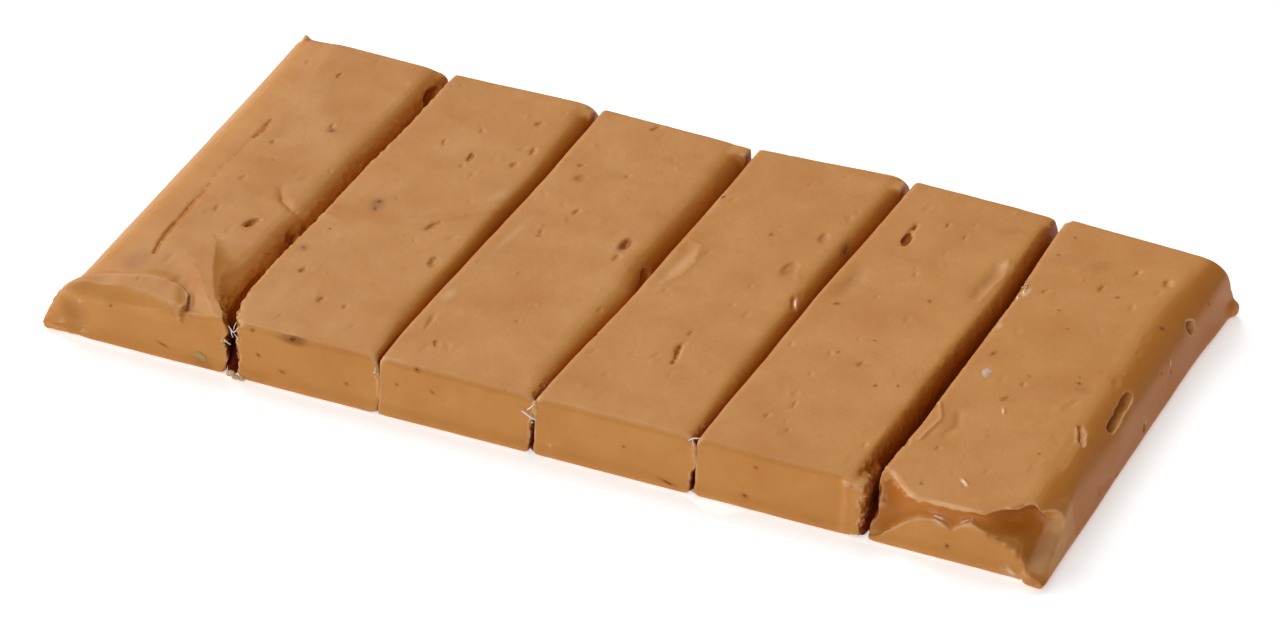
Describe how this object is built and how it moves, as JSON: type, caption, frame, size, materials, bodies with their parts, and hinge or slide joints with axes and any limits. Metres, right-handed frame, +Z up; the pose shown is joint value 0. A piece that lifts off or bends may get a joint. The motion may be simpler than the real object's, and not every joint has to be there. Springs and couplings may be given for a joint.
{
  "type": "taffy bar",
  "caption": "Flat caramel-coloured almond taffy bar, cut crosswise into fingers that lie side by side, with sloped ends and a torn corner, on its clear backing film.",
  "frame": {"origin": "middle of the base, under the film", "axes": "+X along the bar towards the torn end, +Y from the front to the back along each finger, +Z up through the thickness"},
  "size_m": [0.1094, 0.0548, 0.0066],
  "materials": {
    "taffy": "semi-matte waxy taffy with small air pits, almond-skin flecks and pale nut bits",
    "film": "thin clear film, glossy, with shredded edges"
  },
  "bodies": {
    "root": {"taffy_piece_1": "taffy", "taffy_piece_2": "taffy", "taffy_piece_3": "taffy", "taffy_piece_4": "taffy", "taffy_piece_5": "taffy", "taffy_piece_6": "taffy", "backing_film": "film"}
  },
  "joints": []
}
